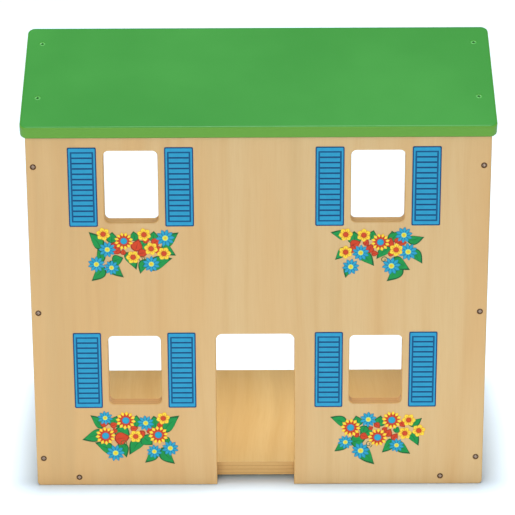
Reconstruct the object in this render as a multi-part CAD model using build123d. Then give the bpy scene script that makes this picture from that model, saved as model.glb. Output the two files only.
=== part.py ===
from build123d import *
import math
import os

os.makedirs("parts", exist_ok=True)

# A two-storey wooden dollhouse, open at the back. Millimetres, +Z up.
# The origin is on the ground, at the middle of the house. The front wall faces -Y, and +X is to the
# right of someone who faces the front.

# Boards
HOUSE_WIDTH = 610
HOUSE_DEPTH = 328
WALL_HEIGHT = 508            # front wall, measured at its outer face
BOARD = 19                   # every wall, floor and roof board is cut from one thickness
ROOF_PITCH = 21              # degrees
ROOF_LENGTH = 622            # along the ridge
EAVE_OVERHANG = 13           # top arris of the roof board in front of the wall
GROUND_FLOOR_LIFT = 6        # gap under the ground floor board
UPPER_FLOOR_LIFT = 229       # underside of the upper floor board

# Windows and doorway. The cut-outs sit a little to the left of the wall's middle.
CUTOUT_SHIFT = -5.5
WINDOW_WIDTH = 71
WINDOW_HEIGHT = 100
WINDOW_CORNER = 7
WINDOW_SPREAD = 162.5        # window centre from the middle of the cut-outs
LOWER_SILL = 122.5
UPPER_SILL = 386.5
DOOR_WIDTH = 105.5
DOOR_HEIGHT = 225
DOOR_CORNER = 9

# Rounding
WALL_CORNER = 5              # bottom corners of the front wall, seen from the front
ROOF_CORNER = 10             # corners of a roof board, seen from above
WALL_ARRIS = 2
ROOF_ARRIS = 3

# Countersunk wood screws, their heads just under the surface
HEAD_RADIUS = 4.2
HEAD_DEPTH = 2.6
HEAD_SUNK = 0.4
SHANK_RADIUS = 2.1
TIP_LENGTH = 5
TIP_RADIUS = 0.3
RECESS_LENGTH = 4.6
RECESS_WIDTH = 1.1
RECESS_DEPTH = 1.8
SCREW_LENGTH = 50
SIDE_SCREW_HEIGHTS = (41, 257, 465)
BASE_SCREW_SPREAD = 247.5
BASE_SCREW_HEIGHT = 12
ROOF_SCREW_SPREAD = 290
FRONT_ROOF_SCREWS = (62, 176)    # up the slope from the eave
BACK_ROOF_SCREWS = (62, 141)
FLOOR_SCREW_PLACES = (-85, 100)  # along the depth of the house

# Printed vinyl decals
DECAL = 0.3
SHUTTER_WIDTH = 38
SHUTTER_HEIGHT = 111
SHUTTER_CORNER = 2
SHUTTER_SPREAD = 63.5        # shutter centre from the window centre
FLOWER_DROPS = {"upper": 96, "lower": 101.5}    # window centre down to the middle of the flower border
BAND_WIDTH = 88              # middle strip that joins each flower border into one decal
BAND_HEIGHT = 40
BAND_LIFT = 2
BAND_CORNER = 8
LEAF_SLIMNESS = 0.28         # half the width of a leaf over its length

# Flower borders: (x, z, radius) of each flower and (base, tip) of each leaf, from the border's middle
FLOWER_BORDERS = {
    "upper_left": (
        ((-38, 30, 9), (16, 29, 9), (25, 9, 9), (42, 2, 9), (1, -3, 9), (-11, 20, 12),
         (-33, 8, 11), (-48, -13, 11), (-28, -18, 10), (25, -13, 11), (44, 24, 12)),
        (((-41, 7), (-57, 33)), ((44, 14), (62, 32)), ((40, 14), (58, -1)), ((22, -20), (53, -5)),
         ((20, -6), (10, -27)), ((-9, 4), (5, -21)), ((-28, -10), (-12, -32)), ((-38, -15), (-55, -37))),
    ),
    "upper_right": (
        ((-42, 28, 9), (-18, 27, 9), (-42, 3, 9), (25, 6, 9), (4, 17, 12),
         (-22, 2, 11), (-35, -18, 11), (19, -17, 12), (41, 3, 12), (35, 27, 11)),
        (((-40, 22), (-62, 31)), ((-44, 8), (-56, -8)), ((-32, -16), (-42, -34)), ((-24, -3), (-4, -17)),
         ((18, 8), (-1, -7)), ((30, -16), (13, -39)), ((24, -6), (44, -23)), ((44, 4), (60, -14)),
         ((40, 22), (62, 24))),
    ),
    "lower_left": (
        ((-42, 31, 10), (13, 23, 11), (-29, -22, 12), (24, -20, 10), (46, -15, 11),
         (-14, 27, 13), (-42, 4, 13), (30, 5, 13), (37, 30, 9), (-1, 3, 9)),
        (((-46, 15), (-62, 35)), ((-48, 10), (-74, -2)), ((-34, -22), (-57, -6)), ((-22, -8), (-14, -29)),
         ((9, 0), (-10, -25)), ((26, -18), (11, -37)), ((36, -15), (52, -39)), ((38, 9), (59, 34))),
    ),
    "lower_right": (
        ((-33, 15, 13), (23, 26, 13), (4, 0, 13), (-9, 27, 11), (-40, -7, 10),
         (-19, -20, 12), (30, -12, 10), (46, 26, 9), (41, 6, 9), (60, 10, 9)),
        (((-38, 18), (-61, 31)), ((-40, -4), (-55, -21)), ((-16, -16), (0, -41)), ((22, -4), (10, -23)),
         ((32, -8), (49, -25)), ((48, 5), (60, -13)), ((48, 20), (64, 29))),
    ),
}

# Worked out
HALF_WIDTH = HOUSE_WIDTH / 2
HALF_DEPTH = HOUSE_DEPTH / 2
SLOPE = math.radians(ROOF_PITCH)
INNER_HALF_WIDTH = HALF_WIDTH - BOARD
FRONT_WALL_BACK = BOARD - HALF_DEPTH
ROOM_DEPTH = HALF_DEPTH - FRONT_WALL_BACK
ROOM_MIDDLE = (HALF_DEPTH + FRONT_WALL_BACK) / 2
RIDGE_HEIGHT = WALL_HEIGHT + HALF_DEPTH * math.tan(SLOPE)
BEVEL_RISE = BOARD * math.tan(SLOPE)
EAVE_START = (BOARD * math.sin(SLOPE) - EAVE_OVERHANG) / math.cos(SLOPE)
RIDGE_START = HALF_DEPTH / math.cos(SLOPE)
RIDGE_LAP = BOARD / math.sin(2 * SLOPE)      # the front roof board laps over the end of the back one
ROOF_BOARD_WIDTH = RIDGE_START + RIDGE_LAP - EAVE_START
SIDE_SCREW_SPREAD = HALF_WIDTH - BOARD / 2
LONG = 2 * HOUSE_WIDTH                       # longer than anything it has to cut through

# The front slope: its plane is the underside of the front roof board, local Y runs up the slope and
# local Z points out of the roof. The back slope is its mirror image.
FRONT_SLOPE = Plane(
    origin=(0, -HALF_DEPTH, WALL_HEIGHT),
    x_dir=(1, 0, 0),
    z_dir=(0, -math.sin(SLOPE), math.cos(SLOPE)),
)
BACK_SLOPE = Plane(
    origin=(0, HALF_DEPTH, WALL_HEIGHT),
    x_dir=(-1, 0, 0),
    z_dir=(0, math.sin(SLOPE), math.cos(SLOPE)),
)


def windows():
    """The name, centre x and centre z of each window."""
    for storey, sill in (("upper", UPPER_SILL), ("lower", LOWER_SILL)):
        for side, sign in (("left", -1), ("right", 1)):
            centre_x = CUTOUT_SHIFT + sign * WINDOW_SPREAD
            yield f"{storey}_{side}", centre_x, sill + WINDOW_HEIGHT / 2


# Screws


def screw_profile(top):
    """Half the outline of a screw whose head ends at the height top."""
    neck = top - HEAD_DEPTH
    return (
        (HEAD_RADIUS, top),
        (SHANK_RADIUS, neck),
        (SHANK_RADIUS, TIP_LENGTH - SCREW_LENGTH),
        (TIP_RADIUS, -SCREW_LENGTH),
        (0, -SCREW_LENGTH),
    )


def turned(points):
    """A solid turned about Z from half an outline."""
    return revolve(make_face(Plane.XZ * Polyline(*points, close=True)), Axis.Z)


def screw():
    """A wood screw that points down -Z, just under the surface Z = 0, with a cross recess."""
    body = turned(((0, -HEAD_SUNK),) + screw_profile(-HEAD_SUNK))
    recess_middle = Pos(0, 0, -HEAD_SUNK)
    recess = Box(RECESS_LENGTH, RECESS_WIDTH, 2 * RECESS_DEPTH)
    recess += Box(RECESS_WIDTH, RECESS_LENGTH, 2 * RECESS_DEPTH)
    return body - recess_middle * recess


def screw_hole():
    """The countersunk hole that a screw fills, open to the surface."""
    above = ((0, HEAD_SUNK), (HEAD_RADIUS, HEAD_SUNK))
    return turned(above + screw_profile(-HEAD_SUNK))


def drill(board, seats):
    """A board with the holes of the screws that stand on the given seats."""
    for seat in seats:
        board -= seat * screw_hole()
    return board


def screws(seats):
    """A group of separate, identical screws."""
    return Compound(children=[seat * screw() for seat in seats])


def front_seat(x, z):
    return Plane(origin=(x, -HALF_DEPTH, z), z_dir=(0, -1, 0))


def side_seat(sign, y, z):
    return Plane(origin=(sign * HALF_WIDTH, y, z), z_dir=(sign, 0, 0))


def roof_seats(slope, distances):
    """Seats on a roof board, by their distance up the slope from the eave."""
    return [
        slope * Pos(sign * ROOF_SCREW_SPREAD, EAVE_START + distance, BOARD)
        for sign in (-1, 1)
        for distance in distances
    ]


def floor_seats(lift):
    """Seats on the side walls, at the middle of a floor board's thickness."""
    return [
        side_seat(sign, y, lift + BOARD / 2)
        for sign in (-1, 1)
        for y in FLOOR_SCREW_PLACES
    ]


WALL_SIDE_SEATS = [
    front_seat(sign * SIDE_SCREW_SPREAD, z)
    for sign in (-1, 1)
    for z in SIDE_SCREW_HEIGHTS
]
WALL_BASE_SEATS = [front_seat(sign * BASE_SCREW_SPREAD, BASE_SCREW_HEIGHT) for sign in (-1, 1)]
FRONT_ROOF_SEATS = roof_seats(FRONT_SLOPE, FRONT_ROOF_SCREWS)
BACK_ROOF_SEATS = roof_seats(BACK_SLOPE, BACK_ROOF_SCREWS)
GROUND_FLOOR_SEATS = floor_seats(GROUND_FLOOR_LIFT)
UPPER_FLOOR_SEATS = floor_seats(UPPER_FLOOR_LIFT)


# Boards


def above_slope(slope):
    """Everything above the underside of a roof board."""
    return slope * Pos(0, 0, LONG / 2) * Box(LONG, LONG, LONG)


def front_wall_outline():
    """The front wall from the front, a little too tall, without its cut-outs."""
    height = WALL_HEIGHT + BEVEL_RISE
    outline = Pos(0, height / 2) * Rectangle(HOUSE_WIDTH, height)
    return fillet(outline.vertices().group_by(Axis.Y)[0], WALL_CORNER)


def window_cutout():
    return RectangleRounded(WINDOW_WIDTH, WINDOW_HEIGHT, WINDOW_CORNER)


def door_cutout():
    """The doorway, open at the bottom, with rounded upper corners."""
    outline = Pos(0, DOOR_HEIGHT / 2) * Rectangle(DOOR_WIDTH, DOOR_HEIGHT)
    return fillet(outline.vertices().group_by(Axis.Y)[-1], DOOR_CORNER)


def front_wall():
    """One board with four windows and a doorway, its top bevelled to fit the roof."""
    face = front_wall_outline() - Pos(CUTOUT_SHIFT, 0) * door_cutout()
    for _, x, z in windows():
        face -= Pos(x, z) * window_cutout()
    wall = extrude(Plane.XZ.offset(-FRONT_WALL_BACK) * face, BOARD)
    faces = wall.faces().sort_by(Axis.Y)
    wall = fillet(faces[0].edges() + faces[-1].edges(), WALL_ARRIS)
    wall -= above_slope(FRONT_SLOPE)
    return drill(wall, WALL_SIDE_SEATS + WALL_BASE_SEATS)


def side_wall(sign):
    """A gable wall behind an end of the front wall."""
    gable = make_face(
        Polyline(
            (FRONT_WALL_BACK, 0),
            (HALF_DEPTH, 0),
            (HALF_DEPTH, WALL_HEIGHT),
            (0, RIDGE_HEIGHT),
            (FRONT_WALL_BACK, WALL_HEIGHT + BEVEL_RISE),
            close=True,
        )
    )
    wall = Pos(sign * SIDE_SCREW_SPREAD, 0, 0) * extrude(Plane.YZ * gable, BOARD / 2, both=True)
    back_edges = wall.edges().filter_by(Axis.Z).group_by(Axis.Y)[-1]
    wall = fillet(back_edges, WALL_ARRIS)
    seats = WALL_SIDE_SEATS + FRONT_ROOF_SEATS + BACK_ROOF_SEATS + GROUND_FLOOR_SEATS + UPPER_FLOOR_SEATS
    return drill(wall, [seat for seat in seats if seat_side(seat) == sign])


def seat_side(seat):
    """Which side of the house a screw is on: -1 left, 1 right."""
    place = seat.origin if isinstance(seat, Plane) else seat.position
    return math.copysign(1, place.X)


def floor_board(lift, seats):
    """A floor board between the side walls, its long edges rounded."""
    board = Pos(0, ROOM_MIDDLE, lift + BOARD / 2) * Box(2 * INNER_HALF_WIDTH, ROOM_DEPTH, BOARD)
    back_edges = board.edges().filter_by(Axis.X).group_by(Axis.Y)[-1]
    return drill(fillet(back_edges, WALL_ARRIS), seats)


def roof_blank():
    """A roof board lying on its slope, with rounded corners and arrises."""
    outline = RectangleRounded(ROOF_LENGTH, ROOF_BOARD_WIDTH, ROOF_CORNER)
    board = extrude(Pos(0, EAVE_START + ROOF_BOARD_WIDTH / 2) * outline, BOARD)
    faces = board.faces().sort_by(Axis.Z)
    return fillet(faces[0].edges() + faces[-1].edges(), ROOF_ARRIS)


def roof_front_board():
    """The board that covers the front slope and laps over the end of the back one."""
    return drill(FRONT_SLOPE * roof_blank(), FRONT_ROOF_SEATS)


def roof_back_board():
    """The board of the back slope, bevelled where it meets the underside of the front one."""
    return drill(BACK_SLOPE * roof_blank() - above_slope(FRONT_SLOPE), BACK_ROOF_SEATS)


# Decals


def stuck_on(shape):
    """A flat shape as a thin decal on the outer face of the front wall."""
    return extrude(Plane.XZ.offset(HALF_DEPTH) * shape, DECAL)


def shutter(x, z):
    """The printed shutter beside a window."""
    return stuck_on(Pos(x, z) * RectangleRounded(SHUTTER_WIDTH, SHUTTER_HEIGHT, SHUTTER_CORNER))


def leaf(base, tip):
    """A pointed leaf between two points: two arcs that meet at both ends."""
    base = Vector(*base)
    tip = Vector(*tip)
    across = (tip - base).rotate(Axis.Z, 90) * LEAF_SLIMNESS
    middle = (base + tip) / 2
    return make_face(ThreePointArc(base, middle + across, tip) + ThreePointArc(tip, middle - across, base))


def flower_border(x, z, flowers, leaves):
    """A border of flowers and leaves, cut round its outline and held together by its middle."""
    outline = Pos(0, BAND_LIFT) * RectangleRounded(BAND_WIDTH, BAND_HEIGHT, BAND_CORNER)
    for flower_x, flower_z, radius in flowers:
        outline += Pos(flower_x, flower_z) * Circle(radius)
    for base, tip in leaves:
        outline += leaf(base, tip)
    return stuck_on(Pos(x, z) * outline)


# The whole house

nodes = {
    "front_wall": front_wall(),
    "left_side_wall": side_wall(-1),
    "right_side_wall": side_wall(1),
    "ground_floor": floor_board(GROUND_FLOOR_LIFT, WALL_BASE_SEATS + GROUND_FLOOR_SEATS),
    "upper_floor": floor_board(UPPER_FLOOR_LIFT, UPPER_FLOOR_SEATS),
    "roof_front_board": roof_front_board(),
    "roof_back_board": roof_back_board(),
    "front_wall_side_screws": screws(WALL_SIDE_SEATS),
    "front_wall_base_screws": screws(WALL_BASE_SEATS),
    "roof_front_screws": screws(FRONT_ROOF_SEATS),
    "roof_back_screws": screws(BACK_ROOF_SEATS),
    "ground_floor_screws": screws(GROUND_FLOOR_SEATS),
    "upper_floor_screws": screws(UPPER_FLOOR_SEATS),
}
for window, window_x, window_z in windows():
    flowers, leaves = FLOWER_BORDERS[window]
    drop = FLOWER_DROPS[window.split("_")[0]]
    nodes[f"{window}_shutter_left"] = shutter(window_x - SHUTTER_SPREAD, window_z)
    nodes[f"{window}_shutter_right"] = shutter(window_x + SHUTTER_SPREAD, window_z)
    nodes[f"{window}_flower_decal"] = flower_border(window_x, window_z - drop, flowers, leaves)

for name, solid in nodes.items():
    export_step(solid, f"parts/{name}.step")
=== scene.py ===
import bmesh
import bpy
import math
from mathutils import Euler, Matrix, Vector
from mathutils.geometry import delaunay_2d_cdt


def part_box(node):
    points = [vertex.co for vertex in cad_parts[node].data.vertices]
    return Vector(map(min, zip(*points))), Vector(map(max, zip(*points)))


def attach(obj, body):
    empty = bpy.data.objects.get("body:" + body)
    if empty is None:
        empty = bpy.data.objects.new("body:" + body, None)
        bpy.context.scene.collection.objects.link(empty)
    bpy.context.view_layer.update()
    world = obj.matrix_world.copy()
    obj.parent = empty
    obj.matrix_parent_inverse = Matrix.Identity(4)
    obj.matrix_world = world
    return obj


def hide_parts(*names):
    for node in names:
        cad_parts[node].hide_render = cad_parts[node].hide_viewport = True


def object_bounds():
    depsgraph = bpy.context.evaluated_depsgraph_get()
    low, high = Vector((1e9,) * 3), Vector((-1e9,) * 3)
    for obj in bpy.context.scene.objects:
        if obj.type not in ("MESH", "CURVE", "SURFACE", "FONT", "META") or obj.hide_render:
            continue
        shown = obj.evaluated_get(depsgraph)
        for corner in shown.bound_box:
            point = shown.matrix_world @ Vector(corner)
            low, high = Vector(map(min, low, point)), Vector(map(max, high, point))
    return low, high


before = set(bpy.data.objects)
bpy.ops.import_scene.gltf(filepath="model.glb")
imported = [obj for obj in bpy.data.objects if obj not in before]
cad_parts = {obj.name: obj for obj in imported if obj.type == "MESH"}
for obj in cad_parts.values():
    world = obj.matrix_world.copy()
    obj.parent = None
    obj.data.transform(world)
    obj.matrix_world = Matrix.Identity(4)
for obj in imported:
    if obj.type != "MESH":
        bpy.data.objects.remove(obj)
CAD_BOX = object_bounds()

# Looks of the wooden dollhouse. Metres, +Z up, and the front wall faces -Y. Screws and prints are
# given in millimetres, prints from their own middle.
MM = 0.001
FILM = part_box("upper_left_shutter_left")
FILM_FRONT = FILM[0][1]
FILM_BACK = FILM[1][1]
FRONT_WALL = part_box("front_wall")
GROUND_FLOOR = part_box("ground_floor")
UPPER_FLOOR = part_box("upper_floor")
LEFT_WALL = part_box("left_side_wall")
RIGHT_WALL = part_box("right_side_wall")
WALL_TOP = FRONT_WALL[1][2]
BOARD = FRONT_WALL[1][1] - FRONT_WALL[0][1]

X_AXIS = (1, 0, 0)
Y_AXIS = (0, 1, 0)
Z_AXIS = (0, 0, 1)
ROOF_PITCH = math.radians(21)
SLOPES = (("front", -1), ("back", 1))
WINDOWS = ("upper_left", "upper_right", "lower_left", "lower_right")

# Camera: a long lens, in front of the house and above it. Turns are in degrees.
CAMERA_PLACE = (-0.0038, -3.4529, 1.6607)
CAMERA_PITCH = 21.935
CAMERA_YAW = 0.033
CAMERA_ROLL = -0.228
CAMERA_LENS = 186.7
SENSOR_WIDTH = 36
FAR_CLIP = 60


# Node helpers


def srgb(red, green, blue):
    """A linear colour from the 0 to 255 values that it shows as."""
    def linear(value):
        value = value / 255
        return value / 12.92 if value <= 0.04045 else ((value + 0.055) / 1.055) ** 2.4
    return (linear(red), linear(green), linear(blue), 1)


class Nodes:
    """Builds one material's nodes. Each call returns the socket that holds its result."""

    def __init__(self, name):
        self.material = bpy.data.materials.new(name)
        self.material.use_nodes = True
        self.tree = self.material.node_tree
        self.shader = self.tree.nodes["Principled BSDF"]

    def add(self, kind, inputs=(), **settings):
        node = self.tree.nodes.new(kind)
        for key, value in settings.items():
            setattr(node, key, value)
        for key, value in dict(inputs).items():
            if isinstance(value, bpy.types.NodeSocket):
                self.tree.links.new(value, node.inputs[key])
            else:
                node.inputs[key].default_value = value
        return node

    def place(self):
        return self.add("ShaderNodeTexCoord").outputs["Object"]

    def normal(self):
        return self.add("ShaderNodeNewGeometry").outputs["Normal"]

    def math(self, operation, a, b=0.0):
        return self.add("ShaderNodeMath", {0: a, 1: b}, operation=operation).outputs[0]

    def dot(self, vector, axis):
        node = self.add("ShaderNodeVectorMath", {0: vector, 1: axis}, operation="DOT_PRODUCT")
        return node.outputs["Value"]

    def ramp(self, value, low, high, to_low=0.0, to_high=1.0):
        """A soft step from to_low to to_high while value goes from low to high."""
        inputs = {"Value": value, "From Min": low, "From Max": high, "To Min": to_low, "To Max": to_high}
        return self.add("ShaderNodeMapRange", inputs, interpolation_type="SMOOTHSTEP").outputs["Result"]

    def noise(self, vector, scale, detail, roughness=0.5):
        inputs = {"Vector": vector, "Scale": scale, "Detail": detail, "Roughness": roughness}
        return self.add("ShaderNodeTexNoise", inputs).outputs["Fac"]

    def combine(self, x, y, z):
        return self.add("ShaderNodeCombineXYZ", {"X": x, "Y": y, "Z": z}).outputs["Vector"]

    def mix(self, share, a, b):
        """Colour a, or b where share is 1. The node's colour sockets are inputs 6 and 7 and output 2."""
        node = self.add("ShaderNodeMix", {"Factor": share, 6: a, 7: b}, data_type="RGBA")
        return node.outputs[2]

    def bump(self, height, strength, distance):
        inputs = {"Height": height, "Strength": strength, "Distance": distance}
        return self.add("ShaderNodeBump", inputs).outputs["Normal"]

    def finish(self, color, roughness, normal=None, **constants):
        """Feeds the shader, sets its constant sockets, and returns the material."""
        links = {"Base Color": color, "Roughness": roughness}
        if normal is not None:
            links["Normal"] = normal
        for key, value in links.items():
            if isinstance(value, bpy.types.NodeSocket):
                self.tree.links.new(value, self.shader.inputs[key])
            else:
                self.shader.inputs[key].default_value = value
        for key, value in constants.items():
            self.shader.inputs[key].default_value = value
        return self.material


# Materials

WALL_TONES = (srgb(210, 175, 123), srgb(208, 166, 110), srgb(199, 154, 98), srgb(190, 155, 103))
FLOOR_TONES = (srgb(226, 198, 134), srgb(221, 189, 122), srgb(210, 172, 104), srgb(200, 166, 104))
PLY_LIGHT = srgb(216, 173, 108)
PLY_DARK = srgb(190, 142, 80)
PLY_GLUE = srgb(146, 100, 56)
PLIES = 7
GRAIN_SWAY = 5 * MM
PLY_SWAY = 0.10
GRAIN_BUMP = 0.3 * MM
INK_BUMP = 0.1 * MM
METAL_BUMP = 0.1 * MM
PAINT_BUMP = 0.4 * MM


def plywood(name, grain, through, middle, tones=WALL_TONES):
    """Lacquered plywood. grain and through are the axes along the face grain and through the board, and
    middle is where the middle of its thickness lies along through. The edges show the plies. tones are
    pale, warm, brown and grey."""
    n = Nodes(name)
    place = n.place()
    sway = n.noise(place, 3.0, 1)
    along = n.dot(place, grain)
    across = n.dot(place, tuple(Vector(grain).cross(Vector(through))))
    across = n.math("ADD", across, n.ramp(sway, 0.3, 0.7, -GRAIN_SWAY, GRAIN_SWAY))
    depth = n.dot(place, through)
    pale, warm, brown, grey = tones

    def streaks(along_scale, across_scale, detail, rough=0.5, seed=0.0):
        """Noise drawn out along the grain."""
        spot = (n.math("MULTIPLY", along, along_scale), n.math("MULTIPLY", across, across_scale))
        return n.noise(n.combine(*spot, n.math("ADD", depth, seed)), 1.0, detail, rough)

    # Grain bands, plus painted shade: a steady shift to the darker, warmer tone towards one side across the
    # grain, the left of the front wall.
    bands_and_shade = n.math("ADD", streaks(1.6, 13, 2), n.ramp(across, -0.1, 0.3, -0.05, 0.15))
    figure = streaks(3.0, 60, 3, 0.55, 3.1)
    cast = streaks(1.2, 26, 2, 0.5, 7.7)
    fibre = streaks(22, 620, 2, 0.6, 1.3)
    color = n.mix(n.ramp(bands_and_shade, 0.35, 0.65), pale, warm)
    color = n.mix(n.ramp(cast, 0.5, 0.75, 0.0, 0.4), color, grey)
    color = n.mix(n.ramp(figure, 0.45, 0.8, 0.0, 0.5), color, brown)
    color = n.mix(n.ramp(fibre, 0.35, 0.85, 0.0, 0.28), color, brown)

    ply = n.math("DIVIDE", n.math("SUBTRACT", depth, middle - BOARD / 2), BOARD / PLIES)
    wander = n.noise(n.combine(along, across, 0.0), 14.0, 2)
    ply = n.math("ADD", ply, n.ramp(wander, 0.3, 0.7, -PLY_SWAY, PLY_SWAY))
    turn = n.math("PINGPONG", ply, 1.0)
    glue = n.math("PINGPONG", n.math("ADD", ply, 0.5), 0.5)
    end_grain = n.noise(n.combine(along, across, n.math("MULTIPLY", depth, 5.0)), 260.0, 2)
    edge = n.mix(n.ramp(turn, 0.35, 0.65, 0.1, 0.55), PLY_LIGHT, PLY_DARK)
    edge = n.mix(n.ramp(end_grain, 0.35, 0.8, 0.0, 0.3), edge, PLY_DARK)
    edge = n.mix(n.ramp(glue, 0.40, 0.48, 0.0, 0.45), edge, PLY_GLUE)

    facing = n.math("ABSOLUTE", n.dot(n.normal(), through))
    color = n.mix(n.ramp(facing, 0.80, 0.95), edge, color)
    normal = n.bump(n.math("ADD", fibre, n.math("MULTIPLY", figure, 0.5)), 0.10, GRAIN_BUMP)
    roughness = n.ramp(figure, 0.3, 0.8, 0.46, 0.58)
    return n.finish(color, roughness, normal, **{"Specular IOR Level": 0.3})


ROOF_GREEN = srgb(50, 129, 49)
ROOF_DEEP = srgb(42, 121, 42)
# Painted shade: a dark line along the ridge arris, where the rounded edge faces away from the light.
ROOF_RIDGE_SHADE = srgb(24, 104, 44)
ROOF_EDGE = srgb(96, 149, 52)
# Painted shade: the darker foot of the board edges, as under the eave.
ROOF_LIP_SHADE = srgb(74, 92, 34)


def green_paint(name, board, up_slope, out):
    """Satin green paint over a wooden roof board. up_slope and out are the board's own axes. Painted shade
    darkens a thin line along the ridge and along the foot of the edges, which are a little yellower."""
    corners = [corner.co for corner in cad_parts[board].data.vertices]
    ridge = max(corner.dot(Vector(up_slope)) for corner in corners)
    under = min(corner.dot(Vector(out)) for corner in corners)
    n = Nodes(name)
    place = n.place()
    normal = n.normal()
    along = n.dot(place, X_AXIS)
    up = n.dot(place, up_slope)
    depth = n.dot(place, out)
    cloud = n.noise(n.combine(along, up, depth), 5.0, 3)
    grain = n.noise(n.combine(n.math("MULTIPLY", along, 18), n.math("MULTIPLY", up, 420), depth), 1.0, 3)
    peel = n.noise(place, 420.0, 2)
    face = n.math("ABSOLUTE", n.dot(normal, out))
    color = n.mix(n.ramp(cloud, 0.3, 0.7), ROOF_DEEP, ROOF_GREEN)
    # Painted shade: the ridge arris darkened in a thin line.
    color = n.mix(n.ramp(up, ridge - 4 * MM, ridge - 2 * MM), color, ROOF_RIDGE_SHADE)
    # Painted shade: the lowest few millimetres of the edges are darkened, as in the shade under the eave.
    edge = n.mix(n.ramp(depth, under + MM, under + 3 * MM, 0.8, 0.0), ROOF_EDGE, ROOF_LIP_SHADE)
    color = n.mix(n.ramp(face, 0.55, 0.97), edge, color)
    height = n.math("ADD", n.math("MULTIPLY", grain, 0.5), n.math("MULTIPLY", peel, 0.5))
    bumped = n.bump(height, 0.10, GRAIN_BUMP)
    roughness = n.ramp(peel, 0.3, 0.7, 0.34, 0.42)
    return n.finish(color, roughness, bumped, **{"Specular IOR Level": 0.16})


def print_ink(name, color, shade):
    """Ink on satin vinyl: one colour that drifts a little towards another."""
    n = Nodes(name)
    place = n.place()
    drift = n.noise(place, 130.0, 2)
    grain = n.noise(place, 2600.0, 1)
    mixed = n.mix(n.ramp(drift, 0.35, 0.75, 0.0, 0.5), color, shade)
    normal = n.bump(grain, 0.05, INK_BUMP)
    return n.finish(mixed, n.ramp(grain, 0.3, 0.7, 0.42, 0.52), normal, **{"Specular IOR Level": 0.2})


def worn_metal(name, color, shade, low, high):
    """Satin metal whose tone varies a little, and its roughness from low to high."""
    n = Nodes(name)
    wear = n.noise(n.place(), 900.0, 3)
    mixed = n.mix(n.ramp(wear, 0.35, 0.75), color, shade)
    normal = n.bump(wear, 0.15, METAL_BUMP)
    return n.finish(mixed, n.ramp(wear, 0.3, 0.7, low, high), normal, Metallic=0.8)


def painted_screw(name, color, shade):
    """A screw head painted over with the roof."""
    n = Nodes(name)
    pool = n.noise(n.place(), 700.0, 2)
    mixed = n.mix(n.ramp(pool, 0.35, 0.7), color, shade)
    normal = n.bump(pool, 0.3, PAINT_BUMP)
    return n.finish(mixed, n.ramp(pool, 0.3, 0.7, 0.3, 0.42), normal)


def middle_of(box, axis):
    """The middle of a box along the axis with this number."""
    return (box[0][axis] + box[1][axis]) / 2


def paint(node, material):
    """Gives a CAD node its material."""
    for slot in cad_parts[node].material_slots:
        slot.material = material


def slope_axes(lean):
    """The directions up a roof slope and straight out of it. lean is -1 in front and 1 at the back."""
    rise = math.sin(ROOF_PITCH)
    run = math.cos(ROOF_PITCH)
    return (0, -lean * run, rise), (0, lean * rise, run)


def finish_boards():
    wall_middle = FRONT_WALL[0][1] + BOARD / 2
    paint("front_wall", plywood("front_wall_plywood", Z_AXIS, Y_AXIS, wall_middle))
    paint("left_side_wall", plywood("left_wall_plywood", Z_AXIS, X_AXIS, middle_of(LEFT_WALL, 0)))
    paint("right_side_wall", plywood("right_wall_plywood", Z_AXIS, X_AXIS, middle_of(RIGHT_WALL, 0)))
    for node, box in (("ground_floor", GROUND_FLOOR), ("upper_floor", UPPER_FLOOR)):
        paint(node, plywood(f"{node}_plywood", Y_AXIS, Z_AXIS, middle_of(box, 2), FLOOR_TONES))
    for side, lean in SLOPES:
        node = f"roof_{side}_board"
        up_slope, out = slope_axes(lean)
        paint(node, green_paint(f"{side}_roof_paint", node, up_slope, out))


# Screws: each is turned about its own axis, with a cross recess in its countersunk head

HEAD_RADIUS = 4.2
HEAD_DEPTH = 2.6
SHANK_RADIUS = 2.0
THREAD_DEPTH = 0.5
THREAD_PITCH = 2.5
TIP_RADIUS = 0.2
RECESS_WIDE = 2.3       # radius along the arms of the cross
RECESS_NARROW = 1.5     # radius between them
RECESS_DEPTH = 1.7
WING_SHARPNESS = 6
TURN_STEPS = 48
RECESS_ROWS = 4         # rows of the profile that are in the recess
SHARP_ROWS = (3, 5)     # rows that meet the face of the head at an edge


def screw_profile(length, recess):
    """Radius and depth of the screw from the middle of its recess out over the head and down to its tip."""
    rows = [
        (0.3, RECESS_DEPTH),
        (0.45 * recess, RECESS_DEPTH - 0.2),
        (0.85 * recess, 0.5),
        (recess, 0.12),
        (recess + 0.25, 0.0),
        (HEAD_RADIUS - 0.5, 0.0),
        (HEAD_RADIUS - 0.1, 0.12),
        (HEAD_RADIUS, 0.4),
        (HEAD_RADIUS - 0.1, 0.6),
        (SHANK_RADIUS, HEAD_DEPTH),
    ]
    depth = HEAD_DEPTH + THREAD_PITCH
    while depth < length - 2 * THREAD_PITCH:
        rows.append((SHANK_RADIUS - THREAD_DEPTH, depth))
        rows.append((SHANK_RADIUS, depth + THREAD_PITCH / 2))
        depth += THREAD_PITCH
    rows.append((SHANK_RADIUS - THREAD_DEPTH - 0.1, length - THREAD_PITCH))
    rows.append((TIP_RADIUS, length))
    return rows


def separate_solids(mesh):
    """The corners of each separate solid in a mesh."""
    joined = bmesh.new()
    joined.from_mesh(mesh)
    bmesh.ops.remove_doubles(joined, verts=joined.verts[:], dist=0.01 * MM)
    waiting = set(joined.verts)
    solids = []
    while waiting:
        front = [waiting.pop()]
        found = []
        while front:
            corner = front.pop()
            found.append(corner.co.copy())
            near = [edge.other_vert(corner) for edge in corner.link_edges]
            front += [other for other in near if other in waiting]
            waiting.difference_update(near)
        solids.append(found)
    joined.free()
    return solids


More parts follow.
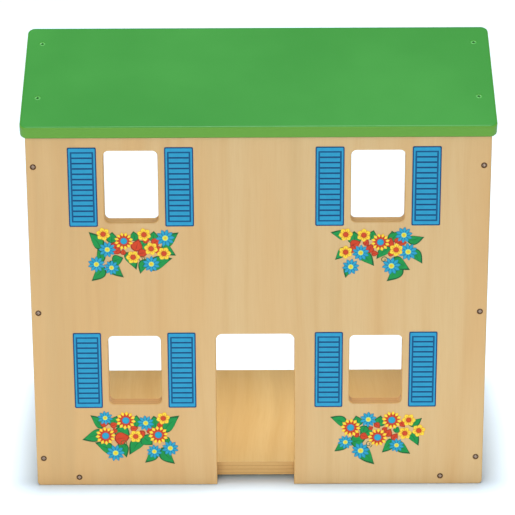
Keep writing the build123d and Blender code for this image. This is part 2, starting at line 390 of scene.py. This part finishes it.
def screw_spots(node, out, side):
    """Head middle and length of the screws in a CAD node that are on the side of the house that out
    points to."""
    up = out.cross(side)
    spots = []
    for corners in separate_solids(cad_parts[node].data):
        spans = [[corner.dot(axis) for corner in corners] for axis in (side, up, out)]
        middle = [(min(span) + max(span)) / 2 for span in spans[:2]]
        head_level = max(spans[2])
        if head_level > 0:
            head = side * middle[0] + up * middle[1] + out * head_level
            spots.append((head, head_level - min(spans[2])))
    return sorted(spots, key=lambda spot: tuple(spot[0]))


def turn_screw(builder, head, out, side, length):
    """One screw, swept about its axis from its recess to its tip."""
    up = out.cross(side)
    rings = []
    for step in range(TURN_STEPS):
        angle = 2 * math.pi * step / TURN_STEPS
        wing = math.cos(2 * angle) ** WING_SHARPNESS
        recess = RECESS_NARROW + (RECESS_WIDE - RECESS_NARROW) * wing
        turned = side * math.cos(angle) + up * math.sin(angle)
        rings.append([
            builder.verts.new(head + (turned * radius - out * depth) * MM)
            for radius, depth in screw_profile(length / MM, recess)
        ])
    for here, there in zip(rings, rings[1:] + rings[:1]):
        for row in range(len(here) - 1):
            face = builder.faces.new([here[row], here[row + 1], there[row + 1], there[row]])
            # The recess faces take the second material: a painted glint on the bronze screws and painted
            # shade on the roof screws.
            face.material_index = 1 if row < RECESS_ROWS else 0
            face.smooth = row not in SHARP_ROWS
    builder.faces.new([ring[0] for ring in rings]).material_index = 1
    builder.faces.new([ring[-1] for ring in rings])


def screws(node, outs, side, head_material, recess_material):
    """Turned screws in place of a CAD node's plain ones, whose heads face along outs."""
    mesh = bpy.data.meshes.new(f"{node}_turned")
    mesh.materials.append(head_material)
    mesh.materials.append(recess_material)
    builder = bmesh.new()
    for out in outs:
        for head, length in screw_spots(node, Vector(out), Vector(side)):
            turn_screw(builder, head, Vector(out), Vector(side), length)
    bmesh.ops.recalc_face_normals(builder, faces=builder.faces[:])
    builder.to_mesh(mesh)
    builder.free()
    piece = bpy.data.objects.new(f"{node}_turned", mesh)
    bpy.context.scene.collection.objects.link(piece)
    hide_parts(node)
    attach(piece, "root")


def all_screws():
    bronze = worn_metal("bronzed_head", srgb(82, 56, 36), srgb(116, 84, 58), 0.45, 0.6)
    # Painted highlight: the recess of the bronze screws is bright metal, a glint in place of the shaded
    # hollow.
    glint_recess = worn_metal("recess_painted_glint", srgb(206, 188, 172), srgb(170, 148, 130), 0.3, 0.45)
    for node in ("front_wall_side_screws", "front_wall_base_screws"):
        screws(node, [(0, -1, 0)], X_AXIS, bronze, glint_recess)
    for node in ("ground_floor_screws", "upper_floor_screws"):
        screws(node, [(-1, 0, 0), (1, 0, 0)], Y_AXIS, bronze, glint_recess)
    head = painted_screw("painted_head", srgb(50, 140, 47), srgb(70, 160, 66))
    # Painted shade: the recess of the roof screws is a darker green, standing for the shade in the hollow.
    recess = painted_screw("recess_painted_shade", srgb(26, 92, 30), srgb(36, 110, 38))
    for side, lean in SLOPES:
        _, out = slope_axes(lean)
        screws(f"roof_{side}_screws", [out], X_AXIS, head, recess)


# Printed film: flat shapes are laid over each other, and each spot shows the ink of the topmost one

INKS = {
    "shutter_line": print_ink("ink_shutter_line", srgb(0, 62, 108), srgb(0, 54, 98)),
    "shutter_frame": print_ink("ink_shutter_frame", srgb(0, 80, 124), srgb(0, 72, 114)),
    "shutter_blue": print_ink("ink_shutter_blue", srgb(40, 148, 188), srgb(32, 140, 180)),
    "shutter_slat": print_ink("ink_shutter_slat", srgb(36, 146, 184), srgb(30, 138, 176)),
    "leaf_edge": print_ink("ink_leaf_edge", srgb(8, 92, 46), srgb(6, 82, 38)),
    "leaf": print_ink("ink_leaf", srgb(18, 142, 66), srgb(12, 126, 56)),
    "yellow": print_ink("ink_yellow", srgb(240, 212, 58), srgb(236, 198, 48)),
    "gold": print_ink("ink_gold", srgb(228, 156, 46), srgb(220, 138, 38)),
    "orange_red": print_ink("ink_orange_red", srgb(204, 70, 30), srgb(194, 56, 26)),
    "red": print_ink("ink_red", srgb(204, 64, 26), srgb(190, 48, 22)),
    "dark_red": print_ink("ink_dark_red", srgb(150, 42, 20), srgb(134, 34, 18)),
    "petal_blue": print_ink("ink_petal_blue", srgb(34, 150, 182), srgb(52, 164, 192)),
    "petal_shade": print_ink("ink_petal_shade", srgb(20, 104, 148), srgb(16, 94, 138)),
    "centre": print_ink("ink_centre", srgb(208, 218, 78), srgb(220, 208, 64)),
    "centre_core": print_ink("ink_centre_core", srgb(226, 178, 52), srgb(216, 160, 42)),
}
CORNER_STEPS = 5
BLADE_STEPS = 12
RIB_STEPS = 6


def counter_clockwise(points):
    """The same outline, turned round if it runs clockwise."""
    area = sum(a[0] * b[1] - b[0] * a[1] for a, b in zip(points, points[1:] + points[:1]))
    return points if area > 0 else points[::-1]


def disc(x, z, radius, steps):
    turn = 2 * math.pi / steps
    return [(x + radius * math.cos(turn * i), z + radius * math.sin(turn * i)) for i in range(steps)]


def rounded_rectangle(width, height, corner):
    points = []
    for quarter, (sign_x, sign_z) in enumerate(((1, 1), (-1, 1), (-1, -1), (1, -1))):
        for i in range(CORNER_STEPS + 1):
            angle = math.pi / 2 * (quarter + i / CORNER_STEPS)
            x = sign_x * (width / 2 - corner) + corner * math.cos(angle)
            z = sign_z * (height / 2 - corner) + corner * math.sin(angle)
            points.append((x, z))
    return points


def rectangle(left, bottom, right, top):
    return [(left, bottom), (right, bottom), (right, top), (left, top)]


def blade(base, tip, width, belly, bend=0.0, steps=BLADE_STEPS):
    """A leaf or petal outline from base to tip. belly is where along it the blade is widest, and bend is how
    far its middle bows sideways, as a share of its length."""
    base = Vector(base)
    tip = Vector(tip)
    along = tip - base
    side = Vector((-along.y, along.x))
    across = side.normalized() * width / 2
    power = math.log(0.5) / math.log(belly)
    right = []
    left = []
    for i in range(1, steps):
        share = i / steps
        swell = math.sin(math.pi * share ** power)
        middle = base + along * share + side * bend * math.sin(math.pi * share)
        right.append(tuple(middle - across * swell))
        left.append(tuple(middle + across * swell))
    return [tuple(base)] + right + [tuple(tip)] + left[::-1]


# Each flower: how many petals, rings of petals and discs from the back to the front. A ring has an ink,
# where its petals start and end, their width and where they are widest, and its turn in petals. A disc has
# an ink, a radius and a number of sides. Lengths are shares of the flower's radius.
FLOWERS = {
    "blue": {
        "petals": 10,
        "rings": (("petal_shade", 0.1, 1.0, 0.40, 0.6, 0.0), ("petal_blue", 0.2, 0.95, 0.31, 0.6, 0.0)),
        "discs": (("petal_blue", 0.38, 24), ("centre", 0.29, 24), ("centre_core", 0.15, 16)),
    },
    "yellow": {
        "petals": 6,
        "rings": (("gold", 0.1, 1.0, 0.76, 0.6, 0.0), ("yellow", 0.2, 0.96, 0.56, 0.6, 0.0),
                  ("gold", 0.2, 0.72, 0.22, 0.4, 0.0)),
        "discs": (("dark_red", 0.38, 24), ("orange_red", 0.32, 24)),
    },
    "sun": {
        "petals": 12,
        "rings": (("gold", 0.2, 1.0, 0.46, 0.5, 0.0), ("yellow", 0.4, 0.97, 0.30, 0.45, 0.0),
                  ("orange_red", 0.3, 0.84, 0.24, 0.4, 0.5)),
        "discs": (("dark_red", 0.54, 24), ("red", 0.49, 24), ("petal_shade", 0.37, 24),
                  ("petal_blue", 0.32, 24)),
    },
}
FLOWER_SCALE = 1.06
FLOWER_TURNS = (0.37, 0.11)     # radians per millimetre across and up, so that no two stand alike
LEAF_SLIMNESS = 0.54
ROUND_LEAF_SLIMNESS = 0.95
RED_LEAF_SLIMNESS = 0.85
LEAF_BEND = 0.10
LEAF_EDGE_WIDTH = 0.9
RIB_WIDTH = 0.8
SLIMMEST_FILL = 1.0

# Shares of a leaf's length: where its fill and midrib start and end, and where each part is widest
FILL_START = 0.08
FILL_END = 0.88
RIB_END = 0.72
LEAF_BELLY = 0.36
FILL_BELLY = 0.38
RIB_BELLY = 0.4

CURL_TURNS = 1.35
CURL_STEPS = 22
CURL_START = math.radians(-70)
CURL_RADIUS = 5.2
CURL_NARROWING = 0.74
CURL_HALF_WIDTH = 0.45


def flower(kind, x, z, radius, turn):
    """A flower seen from the front, its petals turned by an angle."""
    middle = Vector((x, z))
    count = FLOWERS[kind]["petals"]
    shapes = []
    for ink, inner, outer, width, belly, shift in FLOWERS[kind]["rings"]:
        for i in range(count):
            angle = turn + 2 * math.pi * (i + shift) / count
            direction = Vector((math.cos(angle), math.sin(angle)))
            base = middle + direction * (inner * radius)
            tip = middle + direction * (outer * radius)
            shapes.append((blade(base, tip, width * radius, belly), ink))
    for ink, share, sides in FLOWERS[kind]["discs"]:
        shapes.append((disc(x, z, share * radius, sides), ink))
    return shapes


def leaf(base, tip, slimness, bend=0.0, edge="leaf_edge", fill="leaf"):
    """A leaf with a darker edge and midrib. slimness is its width over its length."""
    base = Vector(base)
    along = Vector(tip) - base
    width = slimness * along.length
    fill_width = max(width - 2 * LEAF_EDGE_WIDTH, SLIMMEST_FILL)
    fill_start = base + along * FILL_START
    fill_end = base + along * FILL_END
    rib_end = base + along * RIB_END
    return [
        (blade(base, tip, width, LEAF_BELLY, bend), edge),
        (blade(fill_start, fill_end, fill_width, FILL_BELLY, bend), fill),
        (blade(fill_start, rib_end, RIB_WIDTH, RIB_BELLY, bend, RIB_STEPS), edge),
    ]


def curl(x, z):
    """A thin tendril that winds in on itself."""
    outer = []
    inner = []
    for i in range(CURL_STEPS + 1):
        share = i / CURL_STEPS
        angle = CURL_START + CURL_TURNS * 2 * math.pi * share
        middle = CURL_RADIUS * (1 - CURL_NARROWING * share)
        for side, radius in ((outer, middle + CURL_HALF_WIDTH), (inner, middle - CURL_HALF_WIDTH)):
            side.append((x + radius * math.cos(angle), z + radius * math.sin(angle)))
    return [
        ([outer[i], outer[i + 1], inner[i + 1], inner[i]], "leaf_edge")
        for i in range(CURL_STEPS)
    ]


# Each border: leaves, red leaves and round leaves (base, tip), the middle of a tendril, and flowers
# (kind, x, z, radius). Flowers and leaves later in a row lie in front.
BORDERS = {
    "upper_left": {
        "leaves": (
            ((-41, 8), (-57, 33)), ((44, 12), (62, 32)), ((40, 16), (58, -1)), ((22, -20), (53, -5)),
            ((20, -6), (10, -27)), ((-9, 4), (5, -21)), ((-30, -8), (-12, -32)),
            ((-38, -15), (-55, -37)), ((-42, -12), (-46, 10)),
        ),
        "red": (
            ((-24, 19), (-20, 1)), ((-12, 0), (-12, 9)), ((4, 5), (9, 23)), ((7, 2), (22, 4)),
            ((14, 20), (24, 22)), ((26, 15), (38, 23)), ((33, 13), (35, 0)), ((-16, 9), (-26, 2)),
        ),
        "round": (
            ((-27, 17), (-26, 33)), ((4, 20), (2, 34)), ((28, 19), (29, 34)), ((17, 20), (9, 4)),
            ((-27, -9), (-12, -4)),
        ),
        "curl": (12, -6),
        "flowers": (
            ("blue", -33, 8, 11), ("blue", -48, -13, 11), ("blue", -28, -18, 10), ("blue", 25, -13, 11),
            ("blue", 44, 24, 12), ("sun", -11, 20, 12), ("yellow", -38, 30, 9), ("yellow", 16, 29, 9),
            ("yellow", 25, 9, 9), ("yellow", 42, 2, 9), ("yellow", 1, -3, 9),
        ),
    },
    "upper_right": {
        "leaves": (
            ((-40, 22), (-62, 31)), ((-44, 10), (-56, -8)), ((-32, -12), (-42, -34)),
            ((-26, 2), (-4, -17)), ((18, 10), (-1, -7)), ((32, -14), (13, -39)), ((22, -4), (44, -23)),
            ((42, 6), (60, -14)), ((38, 20), (62, 24)),
        ),
        "red": (
            ((-36, 12), (-22, 18)), ((-17, 12), (-12, 21)), ((-12, 2), (-7, 15)), ((-8, 1), (2, 1)),
            ((15, 10), (18, 24)), ((24, 15), (30, 24)), ((14, 1), (24, 0)), ((-34, 2), (-32, 14)),
            ((28, 16), (39, 16)),
        ),
        "round": (
            ((-30, 14), (-31, 33)), ((-9, 20), (-5, 34)), ((22, 17), (19, 33)), ((18, 18), (27, 32)),
        ),
        "curl": (9, -8),
        "flowers": (
            ("blue", -22, 2, 11), ("blue", -35, -18, 11), ("blue", 19, -17, 12), ("blue", 41, 3, 12),
            ("blue", 35, 27, 11), ("sun", 4, 17, 12), ("yellow", -42, 28, 9), ("yellow", -18, 27, 9),
            ("yellow", -42, 3, 9), ("yellow", 25, 6, 9),
        ),
    },
    "lower_left": {
        "leaves": (
            ((-46, 15), (-62, 35)), ((-46, 12), (-74, -2)), ((-32, -22), (-57, -6)),
            ((-24, -6), (-14, -29)), ((10, 0), (-10, -25)), ((27, -16), (11, -37)),
            ((34, -14), (52, -39)), ((37, 9), (59, 34)), ((42, 2), (46, -12)),
        ),
        "red": (
            ((-49, 22), (-37, 22)), ((-35, 18), (-25, 23)), ((-30, -2), (-8, 3)), ((-8, 14), (3, 16)),
            ((6, 12), (9, 0)), ((15, 8), (24, 17)), ((32, 16), (33, 26)), ((-28, 8), (-31, 16)),
        ),
        "round": (
            ((-32, 17), (-26, 34)), ((-2, 17), (1, 35)), ((27, 14), (24, 34)), ((-28, 15), (-8, 2)),
            ((8, 3), (22, -10)),
        ),
        "curl": (-18, -7),
        "flowers": (
            ("blue", -42, 31, 10), ("blue", 13, 23, 11), ("blue", -29, -22, 12), ("blue", 24, -20, 10),
            ("blue", 46, -15, 11), ("sun", -14, 27, 13), ("sun", -42, 4, 13), ("sun", 30, 5, 13),
            ("yellow", 37, 30, 9), ("yellow", -1, 3, 9),
        ),
    },
    "lower_right": {
        "leaves": (
            ((-38, 18), (-61, 31)), ((-38, -2), (-55, -21)), ((-18, -12), (0, -41)),
            ((24, -2), (10, -23)), ((30, -6), (49, -25)), ((46, 7), (60, -13)), ((46, 18), (64, 29)),
        ),
        "red": (
            ((0, 22), (7, 14)), ((-8, 12), (-2, 16)), ((11, 9), (17, 16)), ((-20, 4), (-8, -1)),
            ((16, 1), (22, 13)), ((24, -4), (31, 6)), ((-28, 1), (-21, 9)), ((34, 24), (41, 15)),
        ),
        "round": (
            ((-22, 17), (-26, 33)), ((5, 16), (8, 33)), ((-18, 14), (-3, 2)), ((-33, -7), (-13, -3)),
            ((28, 7), (32, 16)), ((-14, 18), (-16, 4)),
        ),
        "curl": (-8, -10),
        "flowers": (
            ("blue", -9, 27, 11), ("blue", -40, -7, 10), ("blue", -19, -20, 12), ("blue", 30, -12, 10),
            ("sun", -33, 15, 13), ("sun", 23, 26, 13), ("sun", 4, 0, 13), ("yellow", 46, 26, 9),
            ("yellow", 41, 6, 9), ("yellow", 60, 10, 9),
        ),
    },
}
FLOWER_DROPS = {"upper": 96, "lower": 101.5}     # window middle down to the middle of the border

# A shutter: its own size, the louvred field inside it, and the lines that it is drawn with
SHUTTER_WIDTH = 38
SHUTTER_HEIGHT = 111
SHUTTER_CORNER = 2
INNER_CORNER = 1.2
FIELD_WIDTH = 28.4
FIELD_HEIGHT = 96.4
FIELD_CORNER = 0.6
SLATS = 13
LINE = 2.2
OUTLINE = 1.6


def border_shapes(border):
    """One flower border, from the back to the front: leaves, tendril and flowers."""
    shapes = []
    for i, (base, tip) in enumerate(border["leaves"]):
        shapes += leaf(base, tip, LEAF_SLIMNESS, LEAF_BEND if i % 2 else -LEAF_BEND)
    for base, tip in border["round"]:
        shapes += leaf(base, tip, ROUND_LEAF_SLIMNESS)
    for base, tip in border["red"]:
        shapes += leaf(base, tip, RED_LEAF_SLIMNESS, 0.0, "dark_red", "red")
    shapes += curl(*border["curl"])
    for kind, x, z, radius in border["flowers"]:
        turn = FLOWER_TURNS[0] * x + FLOWER_TURNS[1] * z
        shapes += flower(kind, x, z, FLOWER_SCALE * radius, turn)
    return shapes


def shutter_shapes():
    """A louvred shutter: outline, frame and slats."""
    inside = (SHUTTER_WIDTH - 2 * OUTLINE, SHUTTER_HEIGHT - 2 * OUTLINE)
    shapes = [
        (rounded_rectangle(SHUTTER_WIDTH, SHUTTER_HEIGHT, SHUTTER_CORNER), "shutter_line"),
        (rounded_rectangle(*inside, INNER_CORNER), "shutter_blue"),
        (rounded_rectangle(FIELD_WIDTH + LINE, FIELD_HEIGHT + LINE, FIELD_CORNER), "shutter_frame"),
    ]
    pitch = FIELD_HEIGHT / SLATS
    half_line = LINE / 2
    side = FIELD_WIDTH / 2 - half_line
    for i in range(SLATS):
        bottom = -FIELD_HEIGHT / 2 + pitch * i
        slat = rectangle(-side, bottom + half_line, side, bottom + pitch - half_line)
        shapes.append((slat, "shutter_slat"))
    for i in range(1, SLATS):
        middle = -FIELD_HEIGHT / 2 + pitch * i
        shapes.append((rectangle(-side, middle - half_line, side, middle + half_line), "shutter_line"))
    return shapes


TRIANGLES_INSIDE = 1     # the cut's output: triangles, and only inside the outlines
CUT_TOLERANCE = 1e-4


def film_mesh(name, shapes):
    """A flat mesh cut along every outline, each face with the ink of the topmost shape over it."""
    points = []
    faces = []
    for outline, _ in shapes:
        start = len(points)
        outline = counter_clockwise(list(outline))
        points += [Vector(point) for point in outline]
        faces.append(list(range(start, start + len(outline))))
    cut = delaunay_2d_cdt(points, [], faces, TRIANGLES_INSIDE, CUT_TOLERANCE, True)
    cut_points, _, cut_faces, _, _, owners = cut
    inks = sorted({ink for _, ink in shapes})
    mesh = bpy.data.meshes.new(name)
    for ink in inks:
        mesh.materials.append(INKS[ink])
    builder = bmesh.new()
    corners = [builder.verts.new((point.x * MM, 0, point.y * MM)) for point in cut_points]
    for corner_indices, owner in zip(cut_faces, owners):
        if owner:
            face = builder.faces.new([corners[i] for i in corner_indices])
            face.material_index = inks.index(shapes[max(owner)][1])
    loose = [corner for corner in corners if not corner.link_faces]
    bmesh.ops.delete(builder, geom=loose, context="VERTS")
    for face in builder.faces:
        if face.normal.y > 0:
            face.normal_flip()
    back = bmesh.ops.extrude_face_region(builder, geom=builder.faces[:])
    moved = [part for part in back["geom"] if isinstance(part, bmesh.types.BMVert)]
    bmesh.ops.translate(builder, verts=moved, vec=(0, FILM_FRONT - FILM_BACK, 0))
    bmesh.ops.recalc_face_normals(builder, faces=builder.faces[:])
    builder.to_mesh(mesh)
    builder.free()
    return mesh


def stick(name, node, mesh, x, z):
    """Puts a printed film on the front wall in place of a CAD decal."""
    mesh.transform(Matrix.Translation((x, FILM_BACK, z)))
    piece = bpy.data.objects.new(name, mesh)
    bpy.context.scene.collection.objects.link(piece)
    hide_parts(node)
    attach(piece, "root")


def shutters():
    for window in WINDOWS:
        for side in ("left", "right"):
            node = f"{window}_shutter_{side}"
            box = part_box(node)
            name = f"{node}_print"
            mesh = film_mesh(name, shutter_shapes())
            stick(name, node, mesh, middle_of(box, 0), middle_of(box, 2))


def flower_borders():
    for window in WINDOWS:
        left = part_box(f"{window}_shutter_left")
        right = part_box(f"{window}_shutter_right")
        x = (middle_of(left, 0) + middle_of(right, 0)) / 2
        storey = window.split("_")[0]
        z = middle_of(left, 2) - FLOWER_DROPS[storey] * MM
        name = f"{window}_flower_print"
        mesh = film_mesh(name, border_shapes(BORDERS[window]))
        stick(name, f"{window}_flower_decal", mesh, x, z)


# Studio

WORLD_COLOR = (0.97, 0.985, 1, 1)
WORLD_STRENGTH = 0.45
FLOOR_SIZE = 24
STUDIO_FLOOR_TONES = ((0.66, 0.77, 0.87, 1), (0.68, 0.79, 0.89, 1))
FLOOR_ROUGHNESS = 0.9
CEILING_GAP = 4 * MM

# Name, place, the point that it is aimed at, size and power of each soft light. The last two hang under
# the ceilings of the rooms.
LAMPS = (
    ("overhead", (0, -0.06, 12), (0, -0.06, 0), (1.2, 1.2), 1530),
    ("front", (-0.5, -3.3, 1.5), (0, 0, 0.25), (2.4, 2.4), 43),
    ("low", (0, -0.49, 0.08), (0, 0, 0.05), (1.3, 0.08), 0.21),
    ("back", (0.4, 2.6, 2.2), (0, 0, 0.1), (2.4, 1.6), 6),
    ("lower_storey", (0, -0.02, UPPER_FLOOR[0][2] - CEILING_GAP), (0, -0.02, 0), (0.56, 0.24), 0.47),
    ("upper_storey", (0, -0.02, WALL_TOP - CEILING_GAP), (0, -0.02, 0), (0.56, 0.22), 0.62),
)


def camera():
    data = bpy.data.cameras.new("camera")
    data.lens = CAMERA_LENS
    data.sensor_width = SENSOR_WIDTH
    data.clip_end = FAR_CLIP
    view = bpy.data.objects.new("camera", data)
    aim = Euler((math.radians(90 - CAMERA_PITCH), 0, -math.radians(CAMERA_YAW))).to_matrix()
    roll = Matrix.Rotation(math.radians(CAMERA_ROLL), 3, "Z")
    view.matrix_world = Matrix.Translation(CAMERA_PLACE) @ (aim @ roll).to_4x4()
    bpy.context.scene.collection.objects.link(view)
    bpy.context.scene.camera = view


def soft_light(name, place, target, size, power):
    data = bpy.data.lights.new(name, "AREA")
    data.shape = "RECTANGLE"
    data.size, data.size_y = size
    data.energy = power
    lamp = bpy.data.objects.new(name, data)
    lamp.location = place
    direction = Vector(target) - Vector(place)
    lamp.rotation_euler = direction.to_track_quat("-Z", "Y").to_euler()
    lamp.visible_camera = False
    bpy.context.scene.collection.objects.link(lamp)


def floor():
    n = Nodes("studio_floor")
    cloud = n.noise(n.place(), 0.8, 2)
    color = n.mix(n.ramp(cloud, 0.3, 0.7), *STUDIO_FLOOR_TONES)
    material = n.finish(color, FLOOR_ROUGHNESS)
    bpy.ops.mesh.primitive_plane_add(size=FLOOR_SIZE, location=(0, 0, CAD_BOX[0][2]))
    plane = bpy.context.object
    plane.name = "studio_floor"
    plane.data.materials.append(material)


def studio():
    world = bpy.data.worlds.new("studio_world")
    world.use_nodes = True
    background = world.node_tree.nodes["Background"]
    background.inputs["Color"].default_value = WORLD_COLOR
    background.inputs["Strength"].default_value = WORLD_STRENGTH
    bpy.context.scene.world = world
    for lamp in LAMPS:
        soft_light(*lamp)
    bpy.context.scene.view_settings.view_transform = "Standard"


finish_boards()
all_screws()
shutters()
flower_borders()
floor()
studio()
camera()
